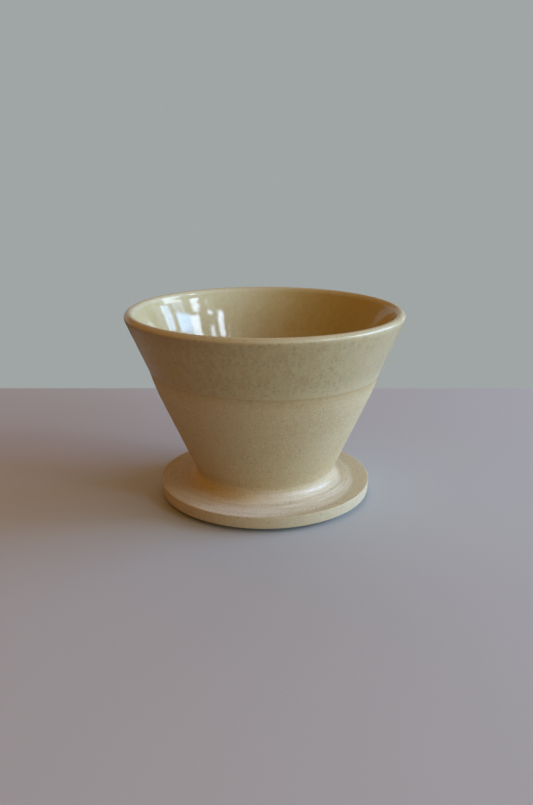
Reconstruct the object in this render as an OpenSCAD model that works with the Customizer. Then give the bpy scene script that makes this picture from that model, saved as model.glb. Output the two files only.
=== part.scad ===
// Pour-over coffee dripper, thrown in stoneware: a flared cone with a flat, drained floor,
// joined to a flat saucer that stands on a mug or on the table. Under the glazed collar the
// wall is drawn in a little, so that the collar stands slightly inside the line of the lower wall.
// It is one fired piece. The axis is +Z and the foot ring stands on z = 0. Lengths are in mm.

/* [Cone] */
// Height from the foot ring to the crown of the lip
height = 83.5; // [70:0.5:110]
// Diameter over the lip
rim_d = 120; // [108:1:140]
// Thickness of the rounded lip
lip_t = 4.8; // [3:0.1:6]
// Diameter where the line of the lower wall meets the saucer's edge level
foot_d = 57.8; // [52:0.2:62]

/* [Shoulder] */
// Height of the glazed collar, from its foot to the crown of the lip
collar_h = 25; // [18:0.5:32]
// How far the foot of the collar stands inside the straight line from foot to lip, on the radius
collar_set = 0.1; // [0:0.05:0.5]
// Height over which the wall is drawn in under the collar
shoulder_h = 8.5; // [5:0.5:14]
// How far the top of the lower wall stands proud of the straight line from foot to lip, on the radius
shoulder_set = 0.8; // [0.2:0.1:2]
// Length over which each bend of the shoulder is eased
shoulder_ease = 3; // [1:0.25:4]

/* [Floor] */
// Diameter of the flat floor, up to the line of the inner wall
floor_d = 47; // [42:0.5:50]
// Thickness of the floor over the underside well
floor_t = 5.4; // [3:0.1:8]
// Radius of the hollow corner between floor and wall
floor_corner_r = 5; // [2:0.5:7]

/* [Drain holes] */
// Number of drain holes
hole_count = 3; // [1:1:6]
// Diameter of each drain hole
hole_d = 5.5; // [3:0.1:7]
// Diameter of the circle that the holes stand on
hole_circle_d = 24; // [18:0.5:26]
// Width of the softened edge at both ends of each hole
hole_edge = 0.6; // [0.2:0.1:1]

/* [Saucer] */
// Diameter of the saucer at its top edge
saucer_d = 94.2; // [88:0.2:120]
// Thickness at the edge of the saucer
saucer_t = 5.3; // [3:0.1:9]
// How much the edge of the saucer falls in from top to bottom, on the radius
edge_draft = 0.3; // [0:0.1:1]
// Width of the level band round the edge of the saucer
band_w = 8; // [4:0.5:10]
// Rise of the saucer from that band to the foot of the cone
dish_rise = 0.6; // [0.2:0.1:1.5]
// Radius of the hollow where the cone grows out of the saucer
foot_fillet_r = 4; // [2:0.5:5]
// Width of the trimmed arris along the top edge
top_arris = 0.4; // [0.2:0.1:1]
// Width of the trimmed arris along the bottom edge
bottom_arris = 0.7; // [0.2:0.1:1.5]

/* [Foot ring] */
// Height of the ring under the saucer, which also centres it in the mouth of a mug
ring_h = 1.8; // [1:0.1:5]
// Outer diameter of the ring
ring_d = 68; // [60:0.5:74]
// Width of the ring
ring_w = 5.5; // [3:0.5:8]
// Width of the trimmed arris at both sides of the ring's foot
ring_arris = 0.5; // [0.2:0.1:0.8]
// How much deeper than the saucer's underside the well inside the ring is trimmed
well_trim = 0.8; // [0:0.1:2]

/* [Hidden] */

// Facets of a full turn, and of a circle that draws an outline
turn_fn = 180;
outline_fn = 96;
// Straight steps that each eased bend is drawn with
ease_steps = 5;

clay = [0.80, 0.75, 0.62];
// Overlap that lets two shapes merge, or a cut run out of the clay
overlap = 0.5;
// How far a round runs past the surface that it blends into, so that the two cross at a clear line
lap = 0.02;

lip_r = lip_t / 2;
saucer_r = saucer_d / 2;
ring_r = ring_d / 2;
well_r = ring_r - ring_w;
hole_r = hole_d / 2;

// Levels above the table
saucer_top = ring_h + saucer_t;
dish_top = saucer_top + dish_rise;
well_top = ring_h + well_trim;
floor_top = well_top + floor_t;
collar_foot = height - collar_h;
shoulder_foot = collar_foot - shoulder_h;

// Direction of an angle, and its left-hand normal
function along(a) = [cos(a), sin(a)];
function left_of(a) = [-sin(a), cos(a)];

// Angle of the straight line from point p that touches the circle round c with radius r.
// The circle lies left of the line where side is 1, and right of it where side is -1.
function touch_angle(p, c, r, side) =
    atan2(c[1] - p[1], c[0] - p[0]) - side * asin(r / norm(c - p));

// Point where that line touches the circle
function touch_point(p, c, r, side) =
    p + sqrt(pow(norm(c - p), 2) - r * r) * along(touch_angle(p, c, r, side));

// Point at height z on the line through p and q
function at_height(p, q, z) = p + (q - p) * (z - p[1]) / (q[1] - p[1]);

// Point on the way from p to q, at distance d from p
function from_to(p, q, d) = p + d * (q - p) / norm(q - p);

// Points of a bend at b, between a and c, eased over the length reach on both sides
function eased_bend(a, b, c, reach) =
    let (p = from_to(b, a, reach), q = from_to(b, c, reach))
    [for (i = [0 : ease_steps])
        let (t = i / ease_steps) (1 - t) * (1 - t) * p + 2 * t * (1 - t) * b + t * t * q];

// Centre of a round with radius r that blends the level line through corner p into the line
// that leaves p at angle a. The level line runs towards the axis where side is 1, away where it is -1.
function corner_centre(p, a, r, side) =
    let (rise = (r - lap) * (1 - side * cos(a)) / sin(a))
    p + rise * along(a) + side * (r - lap) * left_of(a);

// Outer wall: straight from the foot to the shoulder, drawn in there to the foot of the collar,
// and straight again up to the lip. Both ends of the shoulder are set off from the line foot to lip.
lip_centre = [rim_d / 2 - lip_r, height - lip_r];
foot = [foot_d / 2, saucer_top];
lip_out = touch_point(foot, lip_centre, lip_r - lap, 1);
collar = at_height(foot, lip_out, collar_foot) - [collar_set, 0];
shoulder = at_height(foot, lip_out, shoulder_foot) + [shoulder_set, 0];
wall_angle = atan2(shoulder[1] - foot[1], shoulder[0] - foot[0]);

// The two bends of the shoulder reach its middle at most
bend_reach = min(shoulder_ease, norm(collar - shoulder) / 2 - lap);

// Inner wall: straight from the edge of the floor to the lip.
floor_edge = [floor_d / 2, floor_top];
inner_angle = touch_angle(floor_edge, lip_centre, lip_r - lap, -1);
lip_in = touch_point(floor_edge, lip_centre, lip_r - lap, -1);

// Rounds at the edge of the floor and between the saucer and the outer wall.
corner_c = corner_centre(floor_edge, inner_angle, floor_corner_r, 1);
fillet_c = corner_centre(at_height(foot, shoulder, dish_top), wall_angle, foot_fillet_r, -1);

// Outline of the solid cone from the saucer up to the middle of the lip.
module cone_outline() {
    polygon(concat(
        [[0, well_top + overlap], [foot[0], well_top + overlap], foot],
        eased_bend(foot, shoulder, collar, bend_reach),
        eased_bend(shoulder, collar, lip_out, bend_reach),
        [lip_out, lip_centre, from_to(lip_centre, lip_in, lip_t), [0, height]]
    ));
}

// Outline of the space inside the cone, down to the flat floor with its rounded corner.
module hollow_outline() {
    difference() {
        polygon([[0, floor_top], floor_edge, floor_edge + 2 * height * along(inner_angle), [0, 2 * height]]);
        difference() {
            polygon([
                corner_c,
                [corner_c[0], floor_top - overlap],
                floor_edge + [overlap, -overlap],
                corner_c - (floor_corner_r + overlap) * left_of(inner_angle)
            ]);
            translate(corner_c) circle(r = floor_corner_r, $fn = outline_fn);
        }
    }
}

// Outline of the clay that fills the corner between the saucer and the foot of the cone.
module foot_fillet_outline() {
    difference() {
        polygon([
            fillet_c,
            fillet_c + (foot_fillet_r + 2 * overlap) * left_of(wall_angle),
            [foot[0] - 2 * overlap, saucer_top - overlap],
            [fillet_c[0], saucer_top - overlap]
        ]);
        translate(fillet_c) circle(r = foot_fillet_r, $fn = outline_fn);
    }
}

// Outline of the saucer: level band at the edge, then a slight rise towards the cone.
module saucer_outline() {
    polygon([
        [0, well_top],
        [well_r, well_top],
        [well_r, ring_h],
        [saucer_r - edge_draft - bottom_arris, ring_h],
        [saucer_r - edge_draft, ring_h + bottom_arris],
        [saucer_r, saucer_top - top_arris],
        [saucer_r - top_arris, saucer_top],
        [saucer_r - band_w, saucer_top],
        [fillet_c[0], dish_top],
        [0, dish_top]
    ]);
}

// Outline of the ring that the dripper stands on.
module foot_ring_outline() {
    polygon([
        [well_r + ring_arris, 0],
        [ring_r - ring_arris, 0],
        [ring_r, ring_arris],
        [ring_r, ring_h + overlap],
        [well_r, ring_h + overlap],
        [well_r, ring_arris]
    ]);
}

// Outline of the whole turned piece, right of the axis.
module dripper_outline() {
    difference() {
        union() {
            cone_outline();
            foot_fillet_outline();
            saucer_outline();
            foot_ring_outline();
        }
        hollow_outline();
    }
    translate(lip_centre) circle(r = lip_r, $fn = outline_fn);
}

// One drain hole with softened edges, standing on the axis.
module drain_hole() {
    edge_r = hole_r + hole_edge + overlap;
    edge_h = hole_edge + overlap;
    translate([0, 0, well_top - overlap])
        cylinder(h = floor_t + 2 * overlap, r = hole_r, $fn = outline_fn);
    translate([0, 0, floor_top - hole_edge])
        cylinder(h = edge_h, r1 = hole_r, r2 = edge_r, $fn = outline_fn);
    translate([0, 0, well_top - overlap])
        cylinder(h = edge_h, r1 = edge_r, r2 = hole_r, $fn = outline_fn);
}

module drain_holes() {
    for (i = [0 : hole_count - 1])
        rotate(90 + i * 360 / hole_count) translate([hole_circle_d / 2, 0, 0]) drain_hole();
}

module dripper() {
    color(clay) difference() {
        rotate_extrude($fn = turn_fn) dripper_outline();
        drain_holes();
    }
}

dripper();
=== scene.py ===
"""Pour-over coffee dripper in thrown stoneware: the turned piece, its clay and glazes, and the studio."""

import logging
import math
from collections.abc import Iterable, Mapping, Sequence
from dataclasses import dataclass, field
from enum import Enum

import bpy
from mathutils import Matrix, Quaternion, Vector


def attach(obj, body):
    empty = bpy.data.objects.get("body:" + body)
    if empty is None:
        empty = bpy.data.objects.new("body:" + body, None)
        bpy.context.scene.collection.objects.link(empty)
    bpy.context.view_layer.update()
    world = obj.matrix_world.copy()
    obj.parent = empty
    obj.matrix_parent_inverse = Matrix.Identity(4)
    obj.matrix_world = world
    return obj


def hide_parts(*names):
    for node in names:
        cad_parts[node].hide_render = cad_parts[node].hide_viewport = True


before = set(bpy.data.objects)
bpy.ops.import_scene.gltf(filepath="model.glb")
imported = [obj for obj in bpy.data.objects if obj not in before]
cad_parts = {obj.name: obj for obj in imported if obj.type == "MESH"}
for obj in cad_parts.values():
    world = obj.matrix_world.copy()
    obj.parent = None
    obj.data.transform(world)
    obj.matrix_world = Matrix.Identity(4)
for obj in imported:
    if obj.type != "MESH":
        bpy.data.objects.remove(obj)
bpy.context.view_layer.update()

log = logging.getLogger("dripper")

# Metres in a millimetre. Outlines are drawn in millimetres, as (distance from the axis, height).
MM = 0.001
Colour = tuple[float, float, float, float]


def srgb(red: int, green: int, blue: int) -> Colour:
    """Turns a colour as a screen shows it, 0 to 255, into Blender's linear values.

    Args:
        red: Red, 0 to 255.
        green: Green, 0 to 255.
        blue: Blue, 0 to 255.

    Returns:
        The linear colour with full alpha.
    """
    def linear(level: int) -> float:
        """Gives one channel's linear value."""
        share = level / 255
        return share / 12.92 if share <= 0.04045 else ((share + 0.055) / 1.055) ** 2.4
    return linear(red), linear(green), linear(blue), 1.0


# Outlines

def at_height(start: Vector, end: Vector, height: float) -> Vector:
    """Gives the point at a height on the line through two points."""
    return start + (end - start) * (height - start.y) / (end.y - start.y)


def touch_angle(start: Vector, centre: Vector, radius: float, side: int) -> float:
    """Gives the angle of the line from a point that touches a circle.

    Args:
        start: The point that the line leaves.
        centre: Centre of the circle.
        radius: Radius of the circle.
        side: 1 where the circle lies left of the line, -1 where it lies right.

    Returns:
        The angle of the line in radians.
    """
    way = centre - start
    return math.atan2(way.y, way.x) - side * math.asin(radius / way.length)


def touch_point(start: Vector, centre: Vector, radius: float, side: int) -> Vector:
    """Gives the point where the line of touch_angle touches the circle."""
    angle = touch_angle(start, centre, radius, side)
    reach = math.sqrt((centre - start).length_squared - radius ** 2)
    return start + reach * Vector((math.cos(angle), math.sin(angle)))


def blend_centre(corner: Vector, angle: float, radius: float, side: int) -> Vector:
    """Gives the centre of a round between a level line and a rising one.

    Args:
        corner: Point where the two lines meet.
        angle: Angle of the rising line in radians.
        radius: Radius of the round.
        side: 1 where the level line runs towards the axis, -1 where it runs away from it.

    Returns:
        The centre of the round.
    """
    rise = radius * (1 - side * math.cos(angle)) / math.sin(angle)
    along = Vector((math.cos(angle), math.sin(angle)))
    left = Vector((-math.sin(angle), math.cos(angle)))
    return corner + rise * along + side * radius * left


def arc(centre: Vector, radius: float, start: float, end: float, steps: int) -> list[Vector]:
    """Gives the points of an arc, both ends included, from one angle to another in radians."""
    angles = (start + (end - start) * i / steps for i in range(steps + 1))
    return [centre + radius * Vector((math.cos(a), math.sin(a))) for a in angles]


def eased(before: Vector, corner: Vector, after: Vector, reach: float, steps: int = 5) -> list[Vector]:
    """Gives the points of a corner that is eased over the same length on both sides."""
    start = corner + reach * (before - corner).normalized()
    end = corner + reach * (after - corner).normalized()
    shares = (i / steps for i in range(steps + 1))
    return [(1 - t) ** 2 * start + 2 * t * (1 - t) * corner + t ** 2 * end for t in shares]


def filled(points: Sequence[Vector], spacing: float) -> list[Vector]:
    """Adds points along an outline, so that no gap is much wider than the spacing."""
    dense = [points[0]]
    for start, end in zip(points, points[1:]):
        count = max(1, round((end - start).length / spacing))
        dense += [start.lerp(end, (i + 1) / count) for i in range(count)]
    return dense


@dataclass(frozen=True)
class Ridge:
    """One soft ridge round a wall, in mm: its level, its height and how far it spreads."""

    level: float
    height: float
    spread: float

    def at(self, level: float) -> float:
        """Gives the ridge's height at a level."""
        return self.height * math.exp(-((level - self.level) / self.spread) ** 2 / 2)


@dataclass(frozen=True)
class Wave:
    """One wave among the rings: its share of their depth, and its pace and phase beside theirs."""

    share: float
    pace: float
    lag: float


@dataclass(frozen=True)
class ThrowingRings:
    """Soft waves and ridges that the fingers leave round a thrown wall, in mm."""

    depth: float
    pitch: float
    phase: float
    fade: float = 6.0
    ridges: tuple[Ridge, ...] = ()
    waves: tuple[Wave, ...] = (Wave(0.6, 1.0, 1.0), Wave(0.3, 0.63, 2.1), Wave(0.1, 2.35, 0.7))

    def raised(self, points: Sequence[Vector]) -> list[Vector]:
        """Moves the points of an outline to its left and right in soft waves.

        Args:
            points: The plain outline.

        Returns:
            The same number of points. Both ends stay where they are.
        """
        travelled = [0.0]
        for start, end in zip(points, points[1:]):
            travelled.append(travelled[-1] + (end - start).length)
        length = travelled[-1]
        moved = [points[0]]
        for i in range(1, len(points) - 1):
            along = (points[i + 1] - points[i - 1]).normalized()
            fade = min(1.0, travelled[i] / self.fade, (length - travelled[i]) / self.fade)
            height = self._height(travelled[i]) + sum(ridge.at(points[i].y) for ridge in self.ridges)
            moved.append(points[i] + height * fade * Vector((-along.y, along.x)))
        return moved + [points[-1]]

    def _height(self, travelled: float) -> float:
        """Gives the height of all waves together after a length of wall."""
        turns = math.tau * travelled / self.pitch
        return self.depth * sum(w.share * math.cos(turns * w.pace + w.lag * self.phase) for w in self.waves)


# Modelling helpers

def select_only(piece: bpy.types.Object) -> None:
    """Deselects everything, then selects the piece and makes it active."""
    bpy.ops.object.select_all(action="DESELECT")
    piece.select_set(True)
    bpy.context.view_layer.objects.active = piece


@dataclass(frozen=True)
class Wheel:
    """The potter's wheel: turns an outline round the axis."""

    steps: int = 240
    merge_distance: float = 0.004

    def turn(self, name: str, outline: Iterable[Vector]) -> bpy.types.Object:
        """Draws an outline point by point and spins it into a surface.

        Args:
            name: Name of the new piece.
            outline: Points of the outline in mm.

        Returns:
            The turned surface, open where its outline is.
        """
        points = [Vector((p.x, 0.0, p.y)) * MM for p in outline]
        bpy.ops.object.select_all(action="DESELECT")
        bpy.ops.mesh.primitive_plane_add(size=MM, location=(0, 0, 0))
        piece = bpy.context.object
        piece.name = name
        bpy.ops.object.mode_set(mode="EDIT")
        bpy.ops.mesh.select_all(action="SELECT")
        bpy.ops.mesh.merge(type="CENTER")
        bpy.ops.transform.translate(value=points[0])
        for start, end in zip(points, points[1:]):
            bpy.ops.mesh.extrude_vertices_move(TRANSFORM_OT_translate={"value": end - start})
        bpy.ops.mesh.select_all(action="SELECT")
        bpy.ops.mesh.spin(steps=self.steps, angle=math.tau, center=(0, 0, 0), axis=(0, 0, 1))
        bpy.ops.mesh.select_all(action="SELECT")
        bpy.ops.mesh.remove_doubles(threshold=self.merge_distance * MM)
        bpy.ops.object.mode_set(mode="OBJECT")
        faces = len(piece.data.polygons)
        log.info("%s turned: %d points in its outline, %d faces", name, len(points), faces)
        return piece


# The parts of the dripper, each with its own stretch of the outline

@dataclass
class Lip:
    """The lip round the mouth of the cone: round inside, and falling to a softened arris outside."""

    rim_radius: float = 60.0
    crown: float = 83.5
    thickness: float = 4.4
    round_end: float = 66.0
    arris_level: float = 82.3
    arris_proud: float = 0.27
    arris_ease: float = 1.3
    round_steps: int = 16
    arris_steps: int = 8
    spacing: float = 0.5

    @property
    def radius(self) -> float:
        """Radius of the round."""
        return self.thickness / 2

    @property
    def centre(self) -> Vector:
        """Centre of the round."""
        return Vector((self.rim_radius - self.radius, self.crown - self.radius))

    def outline(self, inner: Vector, outer: Vector) -> list[Vector]:
        """Gives the lip's outline from the inner wall over the crown to the outer wall.

        Args:
            inner: Point where the inner wall touches the lip.
            outer: Point where the outer wall touches the lip.

        Returns:
            The points of the outline.
        """
        start = math.atan2(inner.y - self.centre.y, inner.x - self.centre.x)
        inside = arc(self.centre, self.radius, start, math.radians(self.round_end), self.round_steps)
        arris = Vector((self.rim_radius + self.arris_proud, self.arris_level))
        outside = eased(inside[-1], arris, outer, self.arris_ease, self.arris_steps)
        return inside + filled([*outside, outer], self.spacing)

    def build(self, wheel: Wheel, inner: Vector, outer: Vector) -> bpy.types.Object:
        """Turns the lip."""
        return wheel.turn("lip", self.outline(inner, outer))


@dataclass
class Bowl:
    """The inside of the cone: the flat floor, its rounded corner and the glazed wall."""

    floor_radius: float = 23.5
    floor_level: float = 8.0
    corner_radius: float = 5.0
    corner_steps: int = 10
    floor_spacing: float = 3.0
    wall_spacing: float = 0.9
    rings: ThrowingRings = ThrowingRings(depth=0.02, pitch=11.0, phase=0.4, fade=2.0, ridges=(
        Ridge(70.5, 0.6, 7.0), Ridge(48.0, 0.14, 3.2), Ridge(37.0, 0.12, 2.6), Ridge(26.0, 0.14, 3.0)))

    @property
    def edge(self) -> Vector:
        """Where the lines of the floor and the wall meet."""
        return Vector((self.floor_radius, self.floor_level))

    def rim_point(self, lip: Lip) -> Vector:
        """Gives the point where the wall touches the lip."""
        return touch_point(self.edge, lip.centre, lip.radius, -1)

    def outline(self, lip: Lip) -> list[Vector]:
        """Gives the outline from the middle of the floor up to the lip.

        Args:
            lip: The lip that the wall ends in.

        Returns:
            The points of the outline.
        """
        angle = touch_angle(self.edge, lip.centre, lip.radius, -1)
        centre = blend_centre(self.edge, angle, self.corner_radius, 1)
        corner = arc(centre, self.corner_radius, -math.pi / 2, angle - math.pi / 2, self.corner_steps)
        floor = filled([Vector((0.0, self.floor_level)), corner[0]], self.floor_spacing)
        wall = self.rings.raised(filled([corner[-1], self.rim_point(lip)], self.wall_spacing))
        return floor + corner[1:] + wall[1:]

    def build(self, wheel: Wheel, lip: Lip) -> bpy.types.Object:
        """Turns the floor and the inner wall."""
        return wheel.turn("bowl", self.outline(lip))


@dataclass
class OuterWall:
    """The outside of the cone: the collar, the shoulder under it and the lower wall."""

    foot_radius: float = 28.9
    foot_level: float = 7.1
    collar_height: float = 25.0
    collar_set: float = 0.1
    shoulder_height: float = 8.5
    shoulder_set: float = 0.8
    shoulder_ease: float = 3.0
    spacing: float = 0.95
    rings: ThrowingRings = ThrowingRings(depth=0.045, pitch=7.5, phase=1.9)

    @property
    def foot(self) -> Vector:
        """Where the line of the lower wall meets the saucer's edge level."""
        return Vector((self.foot_radius, self.foot_level))

    def rim_point(self, lip: Lip) -> Vector:
        """Gives the point where the collar touches the lip."""
        return touch_point(self.foot, lip.centre, lip.radius, 1)

    def shoulder(self, lip: Lip) -> Vector:
        """Gives the top of the lower wall, before its bend is eased."""
        level = lip.crown - self.collar_height - self.shoulder_height
        return at_height(self.foot, self.rim_point(lip), level) + Vector((self.shoulder_set, 0))

    def outline(self, lip: Lip, end: Vector) -> list[Vector]:
        """Gives the outline from the lip down to the hollow at the foot.

        Args:
            lip: The lip that the collar starts from.
            end: Point where the hollow at the foot begins.

        Returns:
            The points of the outline.
        """
        top = self.rim_point(lip)
        collar = at_height(self.foot, top, lip.crown - self.collar_height) - Vector((self.collar_set, 0))
        shoulder = self.shoulder(lip)
        upper = eased(top, collar, shoulder, self.shoulder_ease)
        lower = eased(collar, shoulder, end, self.shoulder_ease)
        return self.rings.raised(filled([top, *upper, *lower, end], self.spacing))

    def build(self, wheel: Wheel, lip: Lip, end: Vector) -> bpy.types.Object:
        """Turns the outer wall."""
        return wheel.turn("outer_wall", self.outline(lip, end))


@dataclass
class Saucer:
    """The saucer: the hollow at the foot of the cone, the dish, the level band and the edge."""

    radius: float = 47.1
    top: float = 7.1
    underside: float = 1.8
    draft: float = 0.3
    band_width: float = 8.0
    dish_rise: float = 0.6
    hollow_radius: float = 4.0
    top_arris: float = 0.4
    bottom_arris: float = 0.7
    hollow_steps: int = 12
    arris_steps: int = 4
    dish_spacing: float = 0.6
    side_spacing: float = 2.0
    rings: ThrowingRings = ThrowingRings(depth=0.05, pitch=2.6, phase=0.9, fade=1.5)

    def hollow(self, wall: OuterWall, lip: Lip) -> list[Vector]:
        """Gives the hollow between the wall and the dish, from the wall down."""
        way = wall.shoulder(lip) - wall.foot
        angle = math.atan2(way.y, way.x)
        corner = at_height(wall.foot, wall.shoulder(lip), self.top + self.dish_rise)
        centre = blend_centre(corner, angle, self.hollow_radius, -1)
        return arc(centre, self.hollow_radius, angle + math.pi / 2, math.pi * 3 / 2, self.hollow_steps)

    def outline(self, hollow: Sequence[Vector], ring: "FootRing") -> list[Vector]:
        """Gives the outline from the wall to the foot ring.

        Args:
            hollow: Points of the hollow at the foot of the wall.
            ring: The foot ring, where the underside ends.

        Returns:
            The points of the outline.
        """
        band = Vector((self.radius - self.band_width, self.top))
        edge = Vector((self.radius, self.top))
        low = Vector((self.radius - self.draft, self.underside))
        end = Vector((ring.radius, self.underside))
        dish = self.rings.raised(filled([hollow[-1], band], self.dish_spacing))
        side = [
            *eased(band, edge, low, self.top_arris, self.arris_steps),
            *eased(edge, low, end, self.bottom_arris, self.arris_steps),
            end,
        ]
        return [*hollow[:-1], *dish, *filled([band, *side], self.side_spacing)[1:]]

    def build(self, wheel: Wheel, hollow: Sequence[Vector], ring: "FootRing") -> bpy.types.Object:
        """Turns the saucer."""
        return wheel.turn("saucer", self.outline(hollow, ring))


@dataclass
class FootRing:
    """The ring that the dripper stands on, and the trimmed well inside it."""

    radius: float = 34.0
    width: float = 5.5
    arris: float = 0.5
    well_level: float = 2.6
    arris_steps: int = 4
    spacing: float = 3.0

    def outline(self, saucer: Saucer) -> list[Vector]:
        """Gives the outline from the saucer's underside to the middle of the well.

        Args:
            saucer: The saucer that the ring stands under.

        Returns:
            The points of the outline.
        """
        inner = self.radius - self.width
        start = Vector((self.radius, saucer.underside))
        outer_foot = Vector((self.radius, 0.0))
        inner_foot = Vector((inner, 0.0))
        well = Vector((inner, self.well_level))
        middle = Vector((0.0, self.well_level))
        corners = [
            start,
            *eased(start, outer_foot, inner_foot, self.arris, self.arris_steps),
            *eased(outer_foot, inner_foot, well, self.arris, self.arris_steps),
            *eased(inner_foot, well, middle, self.arris, self.arris_steps),
            middle,
        ]
        return filled(corners, self.spacing)

    def build(self, wheel: Wheel, saucer: Saucer) -> bpy.types.Object:
        """Turns the foot ring and the well."""
        return wheel.turn("foot_ring", self.outline(saucer))


@dataclass
class DrainHoles:
    """The drain holes in the floor, with softened edges at both ends."""

    count: int = 3
    radius: float = 2.75
    circle_radius: float = 12.0
    softened: float = 0.6
    overrun: float = 0.5
    facets: int = 48

    def cutter(self, turned: float, low: float, high: float) -> bpy.types.Object:
        """Turns one drill: a rod that flares where it leaves the clay.

        Args:
            turned: Angle of the hole round the axis in radians.
            low: Level of the well in mm.
            high: Level of the floor in mm.

        Returns:
            The drill, closed and at its place.
        """
        wide = self.radius + self.softened + self.overrun
        rod = Wheel(steps=self.facets).turn("drill", [
            Vector((0.0, low - self.overrun)),
            Vector((wide, low - self.overrun)),
            Vector((self.radius, low + self.softened)),
            Vector((self.radius, high - self.softened)),
            Vector((wide, high + self.overrun)),
            Vector((0.0, high + self.overrun)),
        ])
        way = Vector((math.cos(turned), math.sin(turned), 0.0))
        bpy.ops.object.mode_set(mode="EDIT")
        bpy.ops.mesh.select_all(action="SELECT")
        bpy.ops.mesh.normals_make_consistent(inside=False)
        bpy.ops.transform.translate(value=way * self.circle_radius * MM)
        bpy.ops.object.mode_set(mode="OBJECT")
        return rod

    def cut(self, piece: bpy.types.Object, low: float, high: float) -> None:
        """Cuts the holes through the floor of a piece.

        Args:
            piece: The closed piece.
            low: Level of the well in mm.
            high: Level of the floor in mm.
        """
        for i in range(self.count):
            rod = self.cutter(math.pi / 2 + math.tau * i / self.count, low, high)
            select_only(piece)
            hole = piece.modifiers.new("drain_hole", "BOOLEAN")
            hole.operation = "DIFFERENCE"
            hole.solver = "EXACT"
            hole.object = rod
            bpy.ops.object.modifier_apply(modifier=hole.name)
            bpy.data.objects.remove(rod)
        log.info("%d drain holes cut", self.count)


@dataclass
class Unevenness:
    """What the hand leaves on a turned wall: it is a little out of true, always inwards."""

    depth: float = 0.12
    size: float = 34.0
    still_below: float = 3.0
    full_above: float = 12.0

    def press(self, piece: bpy.types.Object) -> None:
        """Presses the unevenness into a piece, fading out towards its foot.

        Args:
            piece: The piece, at its place.
        """
        group = piece.vertex_groups.new(name="uneven")
        span = self.full_above - self.still_below
        for vertex in piece.data.vertices:
            share = (vertex.co.z / MM - self.still_below) / span
            group.add([vertex.index], min(1.0, max(0.0, share)), "REPLACE")
        cloud = bpy.data.textures.new("uneven_wall", "CLOUDS")
        cloud.noise_scale = self.size * MM
        cloud.noise_depth = 1
        select_only(piece)
        press = piece.modifiers.new("uneven", "DISPLACE")
        press.texture = cloud
        press.texture_coords = "LOCAL"
        press.mid_level = 1.0
        press.strength = self.depth * MM
        press.vertex_group = group.name
        bpy.ops.object.modifier_apply(modifier=press.name)
        piece.vertex_groups.clear()


# Shader maths and nodes

# The middle of a noise, whose values lie between 0 and 1
NOISE_MIDDLE = 0.5


class Operation(Enum):
    """The Math node's operations that the finishes use."""

    ADD = "ADD"
    SUBTRACT = "SUBTRACT"
    MULTIPLY = "MULTIPLY"
    DIVIDE = "DIVIDE"
    SQRT = "SQRT"
    LARGER = "MAXIMUM"
    SMALLER = "MINIMUM"


class Signal:
    """A number that changes over the surface. Sums and products of signals add Math nodes."""

    def __init__(self, bench: "NodeBench", socket: bpy.types.NodeSocket) -> None:
        """Wraps an output socket."""
        self.bench = bench
        self.socket = socket

    def _math(self, operation: Operation, *values: "Signal | float") -> "Signal":
        """Adds a Math node."""
        inputs = dict(zip(("Value", "Value_001"), values))
        made = self.bench.node("ShaderNodeMath", {"operation": operation.value}, inputs)
        return Signal(self.bench, made.outputs[0])

    def __add__(self, other: "Signal | float") -> "Signal":
        """Adds."""
        return self._math(Operation.ADD, self, other)

    __radd__ = __add__

    def __sub__(self, other: "Signal | float") -> "Signal":
        """Takes the other away."""
        return self._math(Operation.SUBTRACT, self, other)

    def __rsub__(self, other: "Signal | float") -> "Signal":
        """Takes this away from the other."""
        return self._math(Operation.SUBTRACT, other, self)

    def __mul__(self, other: "Signal | float") -> "Signal":
        """Multiplies."""
        return self._math(Operation.MULTIPLY, self, other)

    __rmul__ = __mul__

    def __truediv__(self, other: "Signal | float") -> "Signal":
        """Divides by the other."""
        return self._math(Operation.DIVIDE, self, other)

    def root(self) -> "Signal":
        """Gives the square root."""
        return self._math(Operation.SQRT, self)

    def at_least(self, low: float) -> "Signal":
        """Gives the signal, or the low value where that is larger."""
        return self._math(Operation.LARGER, self, low)

    def at_most(self, high: float) -> "Signal":
        """Gives the signal, or the high value where that is smaller."""
        return self._math(Operation.SMALLER, self, high)

    def rise(self, low: "Signal | float", high: "Signal | float") -> "Signal":
        """Gives 0 below low, 1 above high and a smooth rise between.

        Args:
            low: Where the rise starts.
            high: Where it ends.

        Returns:
            The mask.
        """
        made = self.bench.node(
            "ShaderNodeMapRange", {"interpolation_type": "SMOOTHSTEP"},
            {"Value": self, "From Min": low, "From Max": high})
        return Signal(self.bench, made.outputs["Result"])

    def centred(self) -> "Signal":
        """Moves a noise, which lies between 0 and 1, to lie about 0."""
        return self - NOISE_MIDDLE

    def lifted(self, least: float) -> "Signal":
        """Lifts a mask, so that it rises from a least value to 1."""
        return self * (1 - least) + least

    def hump(self, middle: float, half: float) -> "Signal":
        """Gives 1 at the middle and a smooth fall to 0 at half the width on both sides."""
        return self.rise(middle - half, middle) * (1 - self.rise(middle, middle + half))


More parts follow.
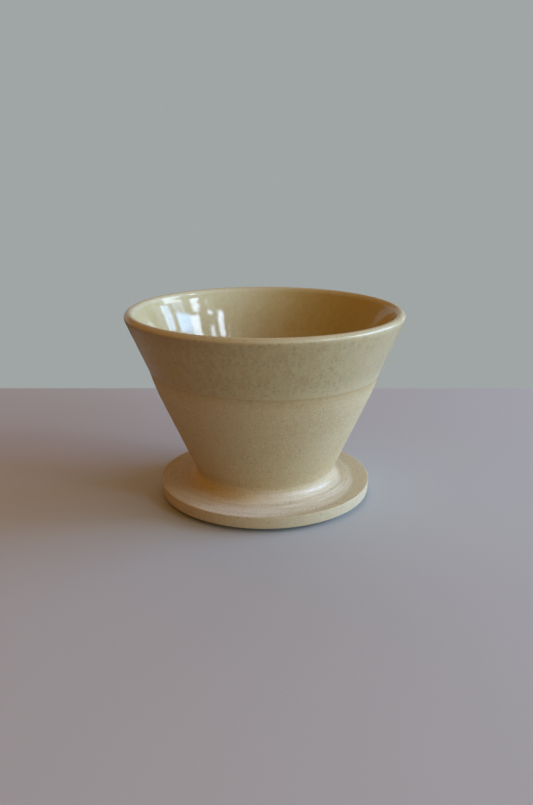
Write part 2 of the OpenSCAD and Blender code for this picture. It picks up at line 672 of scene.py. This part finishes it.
class NodeBench:
    """Adds and links the nodes of one material or world."""

    def __init__(self, tree: bpy.types.NodeTree) -> None:
        """Empties the tree."""
        self.tree = tree
        tree.nodes.clear()

    def node(
        self,
        kind: str,
        settings: Mapping[str, object] | None = None,
        inputs: Mapping[str, object] | None = None,
    ) -> bpy.types.Node:
        """Adds a node.

        Args:
            kind: The node's type.
            settings: The node's own settings, which are set first.
            inputs: Values, sockets or signals by the identifier of the input socket.

        Returns:
            The new node.
        """
        made = self.tree.nodes.new(kind)
        for name, value in (settings or {}).items():
            setattr(made, name, value)
        for name, value in (inputs or {}).items():
            socket = next(s for s in made.inputs if s.identifier == name)
            if isinstance(value, Signal):
                value = value.socket
            if isinstance(value, bpy.types.NodeSocket):
                self.tree.links.new(value, socket)
            else:
                socket.default_value = value
        return made

    def mix(
        self,
        mask: Signal | float,
        below: "Colour | bpy.types.NodeSocket",
        above: "Colour | bpy.types.NodeSocket",
    ) -> bpy.types.NodeSocket:
        """Lays one colour over another where the mask is 1.

        Args:
            mask: Where the upper colour shows.
            below: The lower colour.
            above: The upper colour.

        Returns:
            The mixed colour's socket.
        """
        made = self.node(
            "ShaderNodeMix", {"data_type": "RGBA"},
            {"Factor_Float": mask, "A_Color": below, "B_Color": above})
        return next(s for s in made.outputs if s.identifier == "Result_Color")

    def vector(self, x: Signal, y: Signal, z: Signal) -> bpy.types.NodeSocket:
        """Puts three signals together into a vector."""
        return self.node("ShaderNodeCombineXYZ", None, {"X": x, "Y": y, "Z": z}).outputs[0]


def length_in_plan(x: Signal, y: Signal) -> Signal:
    """Gives the length of a level way."""
    return (x * x + y * y).root()


# The finishes

@dataclass(frozen=True)
class Span:
    """A stretch over which a mask rises from 0 to 1, or falls from 1 to 0."""

    low: float
    high: float

    def up(self, signal: Signal) -> Signal:
        """Gives 0 below the stretch and 1 above it."""
        return signal.rise(self.low, self.high)

    def down(self, signal: Signal) -> Signal:
        """Gives 1 below the stretch and 0 above it."""
        return 1 - self.up(signal)


@dataclass(frozen=True)
class Noise:
    """One cloudy noise: its clouds in a unit of length, its finer layers and how strong they are."""

    scale: float
    detail: float = 2.0
    roughness: float = 0.5

    def over(self, bench: NodeBench, place: bpy.types.NodeSocket) -> Signal:
        """Lays the noise over a surface.

        Args:
            bench: The material's nodes.
            place: The vector that the noise reads.

        Returns:
            The noise, between 0 and 1.
        """
        made = bench.node("ShaderNodeTexNoise", None, {
            "Vector": place, "Scale": self.scale, "Detail": self.detail, "Roughness": self.roughness})
        return Signal(bench, made.outputs[0])


@dataclass(frozen=True)
class Textures:
    """The noises that the finishes share.

    Runs hang down the wall and streaks follow the turning, so both read a place in mm that is stretched
    that way. The others read the plain place in metres. The least radius keeps the streaks off the axis.
    """

    grain: Noise = Noise(1900.0, 3.0, 0.6)
    sand: Noise = Noise(1300.0)
    freckles: Noise = Noise(760.0, 2.0, 0.55)
    mottle: Noise = Noise(330.0, 4.0, 0.6)
    cloud: Noise = Noise(26.0)
    runs: Noise = Noise(0.55, 3.0, 0.55)
    runs_down: float = 0.3
    streaks: Noise = Noise(1.0, 3.0, 0.6)
    streaks_round: float = 2.5
    streaks_across: float = 1.1
    least_radius: float = 0.5


@dataclass(frozen=True)
class Zones:
    """Where the inside, the collar, the lip and the foot lie, in mm.

    The middle of the wall is given by its radius at one level and by its slope. The glaze line of the
    collar falls to the right by its tilt, wanders and has a frayed edge.
    """

    wall_radius: float = 26.8
    wall_level: float = 10.0
    wall_slope: float = 0.4324
    wall_blend: Span = Span(-0.3, 0.3)
    floor_blend: Span = Span(5.4, 5.6)
    line: float = 57.9
    line_tilt: float = -0.024
    line_wander: float = 1.6
    line_fray: float = 0.5
    line_blend: Span = Span(-0.35, 0.45)
    lip_blend: Span = Span(81.2, 82.4)
    foot_start: Span = Span(6.9, 7.1)
    foot_end: Span = Span(10.5, 14.0)


class Surface:
    """What the finishes read at each point: its place in mm, the noises and the zones."""

    def __init__(self, bench: NodeBench, textures: Textures, zones: Zones) -> None:
        """Works out the place, the noises and the zones.

        Args:
            bench: The material's nodes.
            textures: The noises.
            zones: Where the zones lie.
        """
        self.bench = bench
        self.place = bench.node("ShaderNodeTexCoord").outputs["Object"]
        split = bench.node("ShaderNodeSeparateXYZ", None, {"Vector": self.place})
        metres = (Signal(bench, split.outputs[axis]) for axis in ("X", "Y", "Z"))
        self.x, self.y, self.z = (way * (1 / MM) for way in metres)
        self.radius = length_in_plan(self.x, self.y).at_least(textures.least_radius)

        hanging = bench.vector(self.x, self.y, self.z * textures.runs_down)
        turned = bench.vector(
            self.x / self.radius * textures.streaks_round,
            self.y / self.radius * textures.streaks_round,
            (self.radius + self.z) * textures.streaks_across)
        self.grain = textures.grain.over(bench, self.place)
        self.sand = textures.sand.over(bench, self.place)
        self.freckles = textures.freckles.over(bench, self.place)
        self.mottle = textures.mottle.over(bench, self.place)
        self.cloud = textures.cloud.over(bench, self.place)
        self.runs = textures.runs.over(bench, hanging)
        self.streaks = textures.streaks.over(bench, turned)

        wall = zones.wall_radius + (self.z - zones.wall_level) * zones.wall_slope
        self.inside = zones.wall_blend.up(wall - self.radius) * zones.floor_blend.up(self.z)
        self.outside = 1 - self.inside
        self.above_line = (
            self.z - (zones.line + self.x * zones.line_tilt)
            + self.cloud.centred() * zones.line_wander
            + self.mottle.centred() * zones.line_fray
        )
        self.collar = self.outside * zones.line_blend.up(self.above_line)
        self.lip = zones.lip_blend.up(self.z)
        self.foot = self.outside * zones.foot_end.down(self.z) * zones.foot_start.up(self.z)
        self.glazed = (self.inside + self.collar + self.lip).at_most(1.0)


@dataclass(frozen=True)
class Side:
    """One side of the dripper in plan: the way it lies, and where that way it starts and is full, in mm."""

    right: float
    back: float
    reach: Span

    def of(self, at: Surface) -> Signal:
        """Gives 1 on that side and 0 on the other."""
        return self.reach.up(at.x * self.right + at.y * self.back)


@dataclass(frozen=True)
class BareClay:
    """The unglazed clay of the lower wall and the saucer.

    It is toasted in patches, and painted shade darkens its left side. A painted shadow of the cone darkens
    the dish at the left and back, and painted warm bounce light lays yellow in the hollow at the left
    front.
    Pale streaks round the front of the saucer are partly real and partly painted sheen, and the clay is
    burnished in the hollow and on the dish.
    """

    colour: Colour = srgb(189, 174, 129)
    # Toasted colour of the patches; also painted shade on the left side.
    toasted_and_painted_shade: Colour = srgb(178, 158, 109)
    toasted_patches: Span = Span(0.4, 0.75)
    patch_strength: float = 0.7
    # Painted shade: the left side, away from the lamps, is darkened towards the toasted colour.
    painted_shade_side: Side = Side(-1.0, 0.0, Span(0.0, 44.0))
    painted_shade_strength: float = 0.5
    saucer: Colour = srgb(190, 180, 141)
    saucer_top: Span = Span(6.9, 7.6)
    # Painted shadow: the cone's shadow on the dish at the left and back.
    painted_cone_shadow: Colour = srgb(174, 157, 104)
    painted_cone_shadow_side: Side = Side(-1.0, 0.5, Span(18.0, 44.0))
    painted_cone_shadow_strength: float = 0.8
    # Pale streaks round the front of the saucer: partly real pale colour, partly painted sheen of the
    # lamps.
    pale_streaks_and_painted_sheen: Colour = srgb(224, 221, 194)
    rubbed_centre: tuple[float, float] = (-3.5, -3.5)
    rubbed_start: Span = Span(28.0, 36.0)
    rubbed_end: Span = Span(41.4, 44.0)
    streaks_and_sheen_side: Side = Side(0.35, -1.0, Span(4.0, 34.0))
    rubbed_least: float = 0.15
    streaks: Span = Span(0.3, 0.68)
    streaks_least: float = 0.35
    # Painted warm bounce light: a brighter yellow in the hollow at the left front of the foot.
    painted_warm_bounce: Colour = srgb(204, 182, 100)
    painted_warm_bounce_side: Side = Side(-0.82, -0.57, Span(18.0, 33.0))
    painted_warm_bounce_end: Span = Span(30.0, 39.0)
    painted_warm_bounce_strength: float = 0.5
    sand: Colour = srgb(228, 220, 194)
    sand_grains: Span = Span(0.5, 0.8)
    sand_strength: float = 0.3
    roughness: float = 0.62
    streak_roughness: float = 0.1
    burnished: float = 0.21
    burnished_side: Side = Side(1.0, -0.3, Span(-30.0, -5.0))
    burnished_end: Span = Span(36.0, 44.0)

    def lay(self, at: Surface) -> bpy.types.NodeSocket:
        """Lays the clay's colours over one another.

        Args:
            at: The surface.

        Returns:
            The colour of the bare clay.
        """
        mix = at.bench.mix
        patches = self.toasted_patches.up((at.mottle + at.cloud) / 2)
        clay = mix(patches * self.patch_strength, self.colour, self.toasted_and_painted_shade)
        clay = mix(self.saucer_top.down(at.z), clay, self.saucer)
        # Painted shade on the left side of the lower wall and saucer, outside the foot.
        clay = mix(self.painted_shade_side.of(at) * (1 - at.foot) * self.painted_shade_strength, clay, self.toasted_and_painted_shade)
        # Painted shadow of the cone on the dish at the left and back.
        clay = mix(at.foot * self.painted_cone_shadow_side.of(at) * self.painted_cone_shadow_strength, clay, self.painted_cone_shadow)
        # Pale streaks, partly real and partly painted sheen, strongest at the front.
        clay = mix(self._pale_streaks_and_painted_sheen(at), clay, self.pale_streaks_and_painted_sheen)
        # Painted warm bounce light in the hollow at the left front of the foot.
        painted_warm_bounce = at.foot * self.painted_warm_bounce_side.of(at) * self.painted_warm_bounce_end.down(at.radius)
        clay = mix(painted_warm_bounce * self.painted_warm_bounce_strength, clay, self.painted_warm_bounce)
        return mix(self.sand_grains.up(at.sand) * self.sand_strength, clay, self.sand)

    def burnishing(self, at: Surface) -> Signal:
        """Gives the mask of the burnished clay."""
        return at.foot * self.burnished_end.down(at.radius) * self.burnished_side.of(at)

    def _pale_streaks_and_painted_sheen(self, at: Surface) -> Signal:
        """Gives the mask of the pale streaks, partly real and partly painted sheen, which lie in a ring a
        little off the axis and are strongest at the front.
        """
        left, near = (value - middle for value, middle in zip((at.x, at.y), self.rubbed_centre))
        ring = self.rubbed_end.down(length_in_plan(left, near)) * self.rubbed_start.up(at.radius)
        front_weight = self.streaks_and_sheen_side.of(at).lifted(self.rubbed_least)
        return at.foot * ring * front_weight * self.streaks.up(at.streaks).lifted(self.streaks_least)


@dataclass(frozen=True)
class CollarGlaze:
    """The thin satin glaze outside, from the lip down to the line.

    It breaks brown in runs, and painted shade darkens it on its left side. It is paler just above the line,
    where it is thin, and paler to the right as painted light, both on the right half only. Painted shade
    darkens it under the lip at the left. It is darker in a band under the line, fading downwards, with a
    painted shadow along the line.
    """

    colour: Colour = srgb(176, 164, 119)
    # Brown of the runs; also painted shade on the left side.
    breaking_and_painted_shade: Colour = srgb(166, 148, 101)
    breaking_runs: Span = Span(0.35, 0.7)
    breaking_strength: float = 0.7
    # Painted shade: the left side, away from the lamps, is darkened with the brown of the runs.
    painted_shade_side: Side = Side(-1.0, 0.0, Span(0.0, 44.0))
    # Paler where the glaze is thin just above the line, and painted light to the right.
    paler_and_painted_light: Colour = srgb(187, 176, 133)
    paler_side: Side = Side(1.0, 0.0, Span(-30.0, 20.0))
    paler_low: Span = Span(1.0, 7.0)
    paler_low_strength: float = 0.45
    painted_light_right: Side = Side(1.0, 0.0, Span(0.0, 50.0))
    painted_light_right_strength: float = 0.35
    # Painted shade under the lip at the left.
    painted_shade_under_lip: Colour = srgb(148, 129, 85)
    painted_shade_under_lip_top: Span = Span(73.0, 81.5)
    painted_shade_under_lip_side: Side = Side(-1.0, 0.0, Span(-15.0, 55.0))
    painted_shade_under_lip_strength: float = 0.7
    freckles: Span = Span(0.5, 0.72)
    freckle_strength: float = 0.17
    # Darker in a band under the line, fading downwards, with a painted shadow along the line.
    under_line_and_painted_shadow: Colour = srgb(168, 148, 99)
    under_line_start: Span = Span(-6.0, -0.3)
    under_line_end: Span = Span(-0.6, 0.35)
    under_line_strength: float = 0.5
    painted_shadow_middle: float = -0.6
    painted_shadow_half: float = 0.9
    painted_shadow_strength: float = 0.3
    roughness: float = 0.33

    def lay(self, at: Surface, freckle: Colour) -> bpy.types.NodeSocket:
        """Lays the glaze's colours over one another.

        Args:
            at: The surface.
            freckle: The colour of its freckles.

        Returns:
            The colour of the glaze.
        """
        mix = at.bench.mix
        runs = self.breaking_runs.up(at.runs) * self.breaking_strength
        # Painted shade on the left side.
        painted_shade = self.painted_shade_side.of(at) * self.breaking_strength
        band = mix((runs + painted_shade).at_most(1.0), self.colour, self.breaking_and_painted_shade)
        # Paler just above the line, where the glaze is thin; paler to the right as painted light; both on
        # the right half only.
        low = self.paler_low.down(at.above_line) * self.paler_low_strength
        right = self.painted_light_right.of(at) * self.painted_light_right_strength
        band = mix(self.paler_side.of(at) * (low + right), band, self.paler_and_painted_light)
        # Painted shade under the lip at the left.
        painted_shade_under_lip = self.painted_shade_under_lip_top.up(at.z) * self.painted_shade_under_lip_side.of(at)
        band = mix(painted_shade_under_lip * self.painted_shade_under_lip_strength, band, self.painted_shade_under_lip)
        return mix(self.freckles.up(at.freckles) * self.freckle_strength, band, freckle)

    def darkening_along_line(self, at: Surface) -> Signal:
        """Gives the mask that darkens a band under the line, fading downwards, and of a painted shadow
        along the line.
        """
        under_line = at.outside * self.under_line_start.up(at.above_line) * self.under_line_end.down(at.above_line)
        # Painted shadow along the line.
        painted_shadow = at.outside * at.above_line.hump(self.painted_shadow_middle, self.painted_shadow_half)
        return (under_line * self.under_line_strength + painted_shadow * self.painted_shadow_strength).at_most(1.0)


@dataclass(frozen=True)
class BowlGlaze:
    """The clear glossy glaze inside and over the lip: milky low in the bowl, deeper in patches, and darker
    at the right as painted shade.
    """

    colour: Colour = srgb(191, 185, 138)
    milky: Colour = srgb(211, 204, 151)
    milky_end: Span = Span(55.0, 80.0)
    milky_strength: float = 0.45
    # Deeper colour of the patches; also painted shade on the right of the bowl, away from the lamps.
    deep_and_painted_shade: Colour = srgb(181, 166, 97)
    painted_shade_right_side: Side = Side(1.0, 0.0, Span(0.0, 48.0))
    deep_mottle: Span = Span(0.35, 0.7)
    mottle_strength: float = 0.3
    lip: Colour = srgb(197, 194, 152)
    lip_strength: float = 0.8
    roughness: float = 0.055
    lip_roughness: float = 0.12

    def lay(self, at: Surface) -> bpy.types.NodeSocket:
        """Lays the glaze's colours over one another.

        Args:
            at: The surface.

        Returns:
            The colour of the glaze in the bowl.
        """
        bowl = at.bench.mix(self.milky_end.down(at.z) * self.milky_strength, self.colour, self.milky)
        mottled = self.deep_mottle.up(at.mottle) * self.mottle_strength
        # Deeper in patches, and painted shade on the right of the bowl.
        return at.bench.mix((mottled + self.painted_shade_right_side.of(at)).at_most(1.0), bowl, self.deep_and_painted_shade)


@dataclass(frozen=True)
class Specks:
    """The dark specks of iron in the clay, coarse and fine, and its grain.

    Each cell of a pattern may hold one speck. Some cells are spared, and in the others the speck's size
    grows with the cell's own random value.
    """

    colour: Colour = srgb(90, 68, 38)
    coarse_per_metre: float = 560.0
    fine_per_metre: float = 900.0
    fine_strength: float = 0.7
    strength: float = 0.25
    lost_inside: float = 0.6
    spared: float = 0.25
    growth: float = 0.5
    core: float = 0.4
    softness: float = 0.03
    grain: Span = Span(0.45, 0.8)
    grain_strength: float = 0.3
    grain_lost: float = 0.4

    def lay(self, at: Surface, below: bpy.types.NodeSocket) -> bpy.types.NodeSocket:
        """Lays the specks and the grain over a colour.

        Args:
            at: The surface.
            below: The colour under them.

        Returns:
            The speckled colour.
        """
        coarse = self._dots(at, self.coarse_per_metre)
        fine = self._dots(at, self.fine_per_metre)
        dots = (coarse + fine * self.fine_strength) * self.strength * (1 - at.inside * self.lost_inside)
        grain = self.grain.up(at.grain) * self.grain_strength * (1 - at.glazed * self.grain_lost)
        return at.bench.mix(grain, at.bench.mix(dots, below, self.colour), self.colour)

    def _dots(self, at: Surface, per_metre: float) -> Signal:
        """Gives a mask of small soft specks.

        Args:
            at: The surface.
            per_metre: Number of cells in a metre.

        Returns:
            The mask.
        """
        cells = at.bench.node("ShaderNodeTexVoronoi", None, {"Vector": at.place, "Scale": per_metre})
        chance = at.bench.node("ShaderNodeSeparateColor", None, {"Color": cells.outputs["Color"]})
        size = (Signal(at.bench, chance.outputs[0]) - self.spared).at_least(0.0) * self.growth
        return 1 - Signal(at.bench, cells.outputs["Distance"]).rise(size * self.core, size + self.softness)


@dataclass(frozen=True)
class Relief:
    """The fine relief of the surface in mm. The glaze fills most of the grain."""

    grain: float = 0.09
    grain_filled: float = 0.92
    streaks: float = 0.08
    mottle: float = 0.05

    def height(self, at: Surface) -> Signal:
        """Gives the height of the relief."""
        grain = at.grain.centred() * (1 - at.glazed * self.grain_filled) * self.grain
        streaks = at.streaks.centred() * at.outside * (1 - at.lip) * self.streaks
        return grain + streaks + at.mottle.centred() * at.outside * self.mottle


@dataclass(frozen=True)
class Stoneware:
    """The whole finish of the dripper: clay, glazes, specks and relief, placed by height and radius."""

    textures: Textures = Textures()
    zones: Zones = Zones()
    clay: BareClay = BareClay()
    collar: CollarGlaze = CollarGlaze()
    bowl: BowlGlaze = BowlGlaze()
    specks: Specks = Specks()
    relief: Relief = Relief()
    refraction: float = 1.5

    def material(self) -> bpy.types.Material:
        """Makes the material.

        Returns:
            A material that reads Object coordinates.
        """
        made = bpy.data.materials.new("stoneware")
        made.use_nodes = True
        bench = NodeBench(made.node_tree)
        at = Surface(bench, self.textures, self.zones)
        bump = bench.node("ShaderNodeBump", None, {
            "Height": self.relief.height(at),
            "Distance": MM,
            "Strength": 1.0,
        })
        shader = bench.node("ShaderNodeBsdfPrincipled", None, {
            "Base Color": self._colour(at),
            "Roughness": self._roughness(at),
            "IOR": self.refraction,
            "Normal": bump.outputs[0],
        })
        bench.node("ShaderNodeOutputMaterial", None, {"Surface": shader.outputs[0]})
        return made

    def _colour(self, at: Surface) -> bpy.types.NodeSocket:
        """Lays the finishes over one another, each in its zone."""
        mix = at.bench.mix
        body = mix(at.collar, self.clay.lay(at), self.collar.lay(at, self.specks.colour))
        # Darker under the glaze line, with a painted shadow along it.
        body = mix(self.collar.darkening_along_line(at), body, self.collar.under_line_and_painted_shadow)
        body = mix(at.inside, body, self.bowl.lay(at))
        body = mix(at.lip * self.bowl.lip_strength, body, self.bowl.lip)
        return self.specks.lay(at, body)

    def _roughness(self, at: Surface) -> Signal:
        """Gives each zone the roughness of its finish."""
        dull = self.clay.roughness
        outer = (
            dull
            + at.collar * (self.collar.roughness - dull)
            + self.clay.burnishing(at) * (self.clay.burnished - dull)
            + at.streaks.centred() * self.clay.streak_roughness
        )
        roughness = outer * at.outside + at.inside * self.bowl.roughness
        return roughness * (1 - at.lip) + at.lip * self.bowl.lip_roughness


@dataclass
class Dripper:
    """The whole dripper, fused from its turned parts into one fired piece."""

    wheel: Wheel = field(default_factory=Wheel)
    lip: Lip = field(default_factory=Lip)
    bowl: Bowl = field(default_factory=Bowl)
    wall: OuterWall = field(default_factory=OuterWall)
    saucer: Saucer = field(default_factory=Saucer)
    ring: FootRing = field(default_factory=FootRing)
    holes: DrainHoles = field(default_factory=DrainHoles)
    unevenness: Unevenness = field(default_factory=Unevenness)
    finish: Stoneware = field(default_factory=Stoneware)
    smooth_angle: float = 38.0

    def throw(self) -> list[bpy.types.Object]:
        """Turns every part, from the bowl round to the foot ring.

        Returns:
            The open surfaces, which meet edge to edge.
        """
        hollow = self.saucer.hollow(self.wall, self.lip)
        return [
            self.bowl.build(self.wheel, self.lip),
            self.lip.build(self.wheel, self.bowl.rim_point(self.lip), self.wall.rim_point(self.lip)),
            self.wall.build(self.wheel, self.lip, hollow[0]),
            self.saucer.build(self.wheel, hollow, self.ring),
            self.ring.build(self.wheel, self.saucer),
        ]

    def fuse(self, parts: Sequence[bpy.types.Object]) -> bpy.types.Object:
        """Joins the parts into one closed piece.

        Args:
            parts: The turned surfaces.

        Returns:
            The piece, with all faces pointing outwards.
        """
        bpy.ops.object.select_all(action="DESELECT")
        for part in parts:
            part.select_set(True)
        bpy.context.view_layer.objects.active = parts[0]
        bpy.ops.object.join()
        piece = bpy.context.object
        piece.name = "thrown_dripper"
        bpy.ops.object.mode_set(mode="EDIT")
        bpy.ops.mesh.select_all(action="SELECT")
        bpy.ops.mesh.remove_doubles(threshold=self.wheel.merge_distance * MM)
        bpy.ops.mesh.normals_make_consistent(inside=False)
        bpy.ops.object.mode_set(mode="OBJECT")
        return piece

    def build(self) -> bpy.types.Object:
        """Builds, finishes and dresses the dripper.

        Returns:
            The finished piece.
        """
        piece = self.fuse(self.throw())
        self.holes.cut(piece, self.ring.well_level, self.bowl.floor_level)
        self.unevenness.press(piece)
        select_only(piece)
        bpy.ops.object.shade_smooth_by_angle(angle=math.radians(self.smooth_angle))
        piece.data.materials.clear()
        piece.data.materials.append(self.finish.material())
        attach(piece, "root")
        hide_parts("dripper")
        log.info("%s: %d faces", piece.name, len(piece.data.polygons))
        return piece


# The studio

class LampShape(Enum):
    """The outlines that a flat lamp can have."""

    PANE = "RECTANGLE"
    OVAL = "ELLIPSE"


class LampUse(Enum):
    """What a lamp takes part in."""

    SOFT_LIGHT = "soft light"
    SHINE = "shine"
    BOTH = "both"


@dataclass(frozen=True)
class Softbox:
    """A flat lamp, placed by its direction from the dripper, in degrees and metres."""

    name: str
    azimuth: float
    elevation: float
    width: float
    height: float
    radiance: float
    tint: tuple[float, float, float]
    turned: float = 0.0
    shape: LampShape = LampShape.PANE
    distance: float = 1.6
    use: LampUse = LampUse.BOTH

    def hang(self, target: Vector) -> bpy.types.Object:
        """Hangs the lamp, facing the target.

        Args:
            target: The point that the lamp faces.

        Returns:
            The lamp.
        """
        round_axis, raised = math.radians(self.azimuth), math.radians(self.elevation)
        level = math.cos(raised)
        way = Vector((level * math.cos(round_axis), level * math.sin(round_axis), math.sin(raised)))
        data = bpy.data.lights.new(self.name, "AREA")
        data.shape = self.shape.value
        data.size = 2 * self.distance * math.tan(math.radians(self.width / 2))
        data.size_y = 2 * self.distance * math.tan(math.radians(self.height / 2))
        area = data.size * data.size_y * (math.pi / 4 if self.shape is LampShape.OVAL else 1)
        data.energy = self.radiance * math.pi * area
        data.color = self.tint
        lamp = bpy.data.objects.new(self.name, data)
        lamp.location = target + way * self.distance
        facing = way.to_track_quat("Z", "Y") @ Quaternion((0, 0, 1), math.radians(self.turned))
        lamp.rotation_euler = facing.to_euler()
        lamp.visible_glossy = self.use is not LampUse.SOFT_LIGHT
        lamp.visible_diffuse = self.use is not LampUse.SHINE
        lamp.visible_camera = False
        bpy.context.scene.collection.objects.link(lamp)
        return lamp


# Tints that several lamps share
BLUE_SKY = (0.34, 0.6, 1.0)
BRIGHT_SKY = (0.63, 0.78, 1.0)


@dataclass
class Studio:
    """The plain table, the pale backdrop and the lamps."""

    table_colour: Colour = srgb(177, 185, 180)
    table_roughness: float = 0.75
    backdrop_colour: Colour = srgb(160, 166, 165)
    fill_colour: Colour = (1.0, 0.43, 0.1, 1.0)
    fill: float = 0.41
    room_colour: Colour = (0.12, 0.1, 0.08, 1.0)
    table_edge: float = 161.0
    table_reach: float = 1500.0
    aim_level: float = 60.0
    # Each lamp's name, azimuth, elevation, width, height, radiance, tint and turn
    lamps: tuple[Softbox, ...] = (
        Softbox("window_low", 5.0, 8.0, 46.0, 16.0, 15.5, (0.32, 0.46, 1.0), use=LampUse.SOFT_LIGHT),
        Softbox("window_front", -32.0, 9.0, 40.0, 18.0, 6.0, (0.63, 0.86, 1.0), use=LampUse.SOFT_LIGHT),
        Softbox("behind_soft", 90.0, 35.0, 60.0, 40.0, 0.44, (0.71, 0.84, 1.0), use=LampUse.SOFT_LIGHT),
        Softbox("wall_behind", 97.0, 5.0, 84.0, 22.0, 0.25, (0.75, 0.95, 1.0)),
        Softbox("wall_right", 5.0, 26.0, 72.0, 36.0, 1.0, (0.49, 0.68, 1.0), use=LampUse.SHINE),
        Softbox("curtain_near", -45.0, 34.0, 30.0, 40.0, 0.4, (0.58, 0.79, 1.0), use=LampUse.SHINE),
        Softbox("curtain_middle", -55.0, 35.0, 52.0, 42.0, 0.3, (0.58, 0.79, 1.0), use=LampUse.SHINE),
        Softbox("curtain_far", -66.0, 36.0, 78.0, 44.0, 0.25, (0.58, 0.79, 1.0), use=LampUse.SHINE),
        Softbox("glint_far", 54.0, 9.5, 16.0, 0.8, 6.0, BRIGHT_SKY, -15.0),
        Softbox("pane_outer", 30.0, 18.0, 4.5, 8.0, 9.5, (0.44, 0.64, 1.0), -14.0),
        Softbox("pane_inner", 24.5, 19.5, 5.0, 8.0, 10.5, (0.4, 0.62, 1.0), -14.0),
        Softbox("pane_blue", 7.0, 23.5, 16.5, 9.0, 14.5, BLUE_SKY, -14.0),
        Softbox("pane_bright", -7.0, 26.0, 9.5, 9.0, 16.5, BRIGHT_SKY, -14.0),
        Softbox("top_bar", 18.0, 29.5, 20.0, 5.0, 8.5, BRIGHT_SKY, -15.0),
        Softbox("top_round", -8.0, 35.0, 9.5, 5.5, 15.0, BRIGHT_SKY, -20.0, LampShape.OVAL),
        Softbox("chip_high", -24.5, 35.0, 5.0, 2.0, 15.0, BRIGHT_SKY, 3.0),
        Softbox("chip_low", -27.0, 25.5, 4.5, 2.0, 15.0, BRIGHT_SKY, -9.0),
        Softbox("slit", -37.5, 32.0, 5.5, 11.0, 17.5, BRIGHT_SKY, -7.0),
        Softbox("chip_last", -46.5, 27.5, 2.0, 1.0, 15.0, BRIGHT_SKY, -9.0),
    )

    def build(self) -> None:
        """Lays the table, lights the world and hangs the lamps."""
        self._lay_table()
        self._light_world()
        for lamp in self.lamps:
            lamp.hang(Vector((0, 0, self.aim_level * MM)))
        log.info("studio: table, backdrop and %d lamps", len(self.lamps))

    def _lay_table(self) -> None:
        """Lays the plain table, which ends behind the dripper where the backdrop begins."""
        bpy.ops.object.select_all(action="DESELECT")
        bpy.ops.mesh.primitive_plane_add(size=2 * self.table_reach * MM, location=(0, 0, 0))
        table = bpy.context.object
        table.name = "table"
        bpy.ops.object.mode_set(mode="EDIT")
        bpy.ops.mesh.select_all(action="SELECT")
        edge = self.table_edge * MM
        bpy.ops.mesh.bisect(plane_co=(0, edge, 0), plane_no=(0, 1, 0), clear_outer=True)
        bpy.ops.object.mode_set(mode="OBJECT")
        made = bpy.data.materials.new("table")
        made.use_nodes = True
        bench = NodeBench(made.node_tree)
        shader = bench.node("ShaderNodeBsdfPrincipled", None, {
            "Base Color": self.table_colour, "Roughness": self.table_roughness})
        bench.node("ShaderNodeOutputMaterial", None, {"Surface": shader.outputs[0]})
        table.data.materials.append(made)

    def _light_world(self) -> None:
        """Shows the backdrop to the camera, a dim room to reflections, and gives a weak warm fill."""
        world = bpy.data.worlds.new("studio")
        world.use_nodes = True
        bpy.context.scene.world = world
        bench = NodeBench(world.node_tree)
        path = bench.node("ShaderNodeLightPath")
        rays = ("Is Camera Ray", "Is Glossy Ray", "Is Transmission Ray")
        camera, gloss, through = (Signal(bench, path.outputs[ray]) for ray in rays)
        shades = ((self.fill_colour, self.fill), (self.room_colour, 1.0), (self.backdrop_colour, 1.0))
        fill, room, backdrop = (
            bench.node("ShaderNodeBackground", None, {"Color": colour, "Strength": strength}).outputs[0]
            for colour, strength in shades)
        unseen = bench.node("ShaderNodeMixShader", None, {
            "Fac": gloss, "Shader": fill, "Shader_001": room}).outputs[0]
        mixed = bench.node("ShaderNodeMixShader", None, {
            "Fac": (camera + through).at_most(1.0), "Shader": unseen, "Shader_001": backdrop}).outputs[0]
        bench.node("ShaderNodeOutputWorld", None, {"Surface": mixed})


@dataclass(frozen=True)
class StudioCamera:
    """The camera at the photograph's viewing angle, in mm and degrees."""

    x: float = 0.7
    y: float = -333.3
    z: float = 146.0
    pitch: float = 17.5
    lens: float = 35.0
    sensor: float = 36.0
    clip_start: float = 10.0

    def place(self) -> None:
        """Adds the camera and makes it the scene's camera."""
        data = bpy.data.cameras.new("studio_camera")
        data.lens = self.lens
        data.sensor_width = self.sensor
        data.clip_start = self.clip_start * MM
        camera = bpy.data.objects.new("studio_camera", data)
        camera.location = Vector((self.x, self.y, self.z)) * MM
        camera.rotation_euler = (math.radians(90 - self.pitch), 0, 0)
        bpy.context.scene.collection.objects.link(camera)
        bpy.context.scene.camera = camera


def main() -> None:
    """Builds the camera, the dripper and the studio."""
    logging.basicConfig(level=logging.INFO, format="%(name)s: %(message)s")
    bpy.context.scene.view_settings.view_transform = "Standard"
    StudioCamera().place()
    Dripper().build()
    Studio().build()


if __name__ == "__main__":
    main()
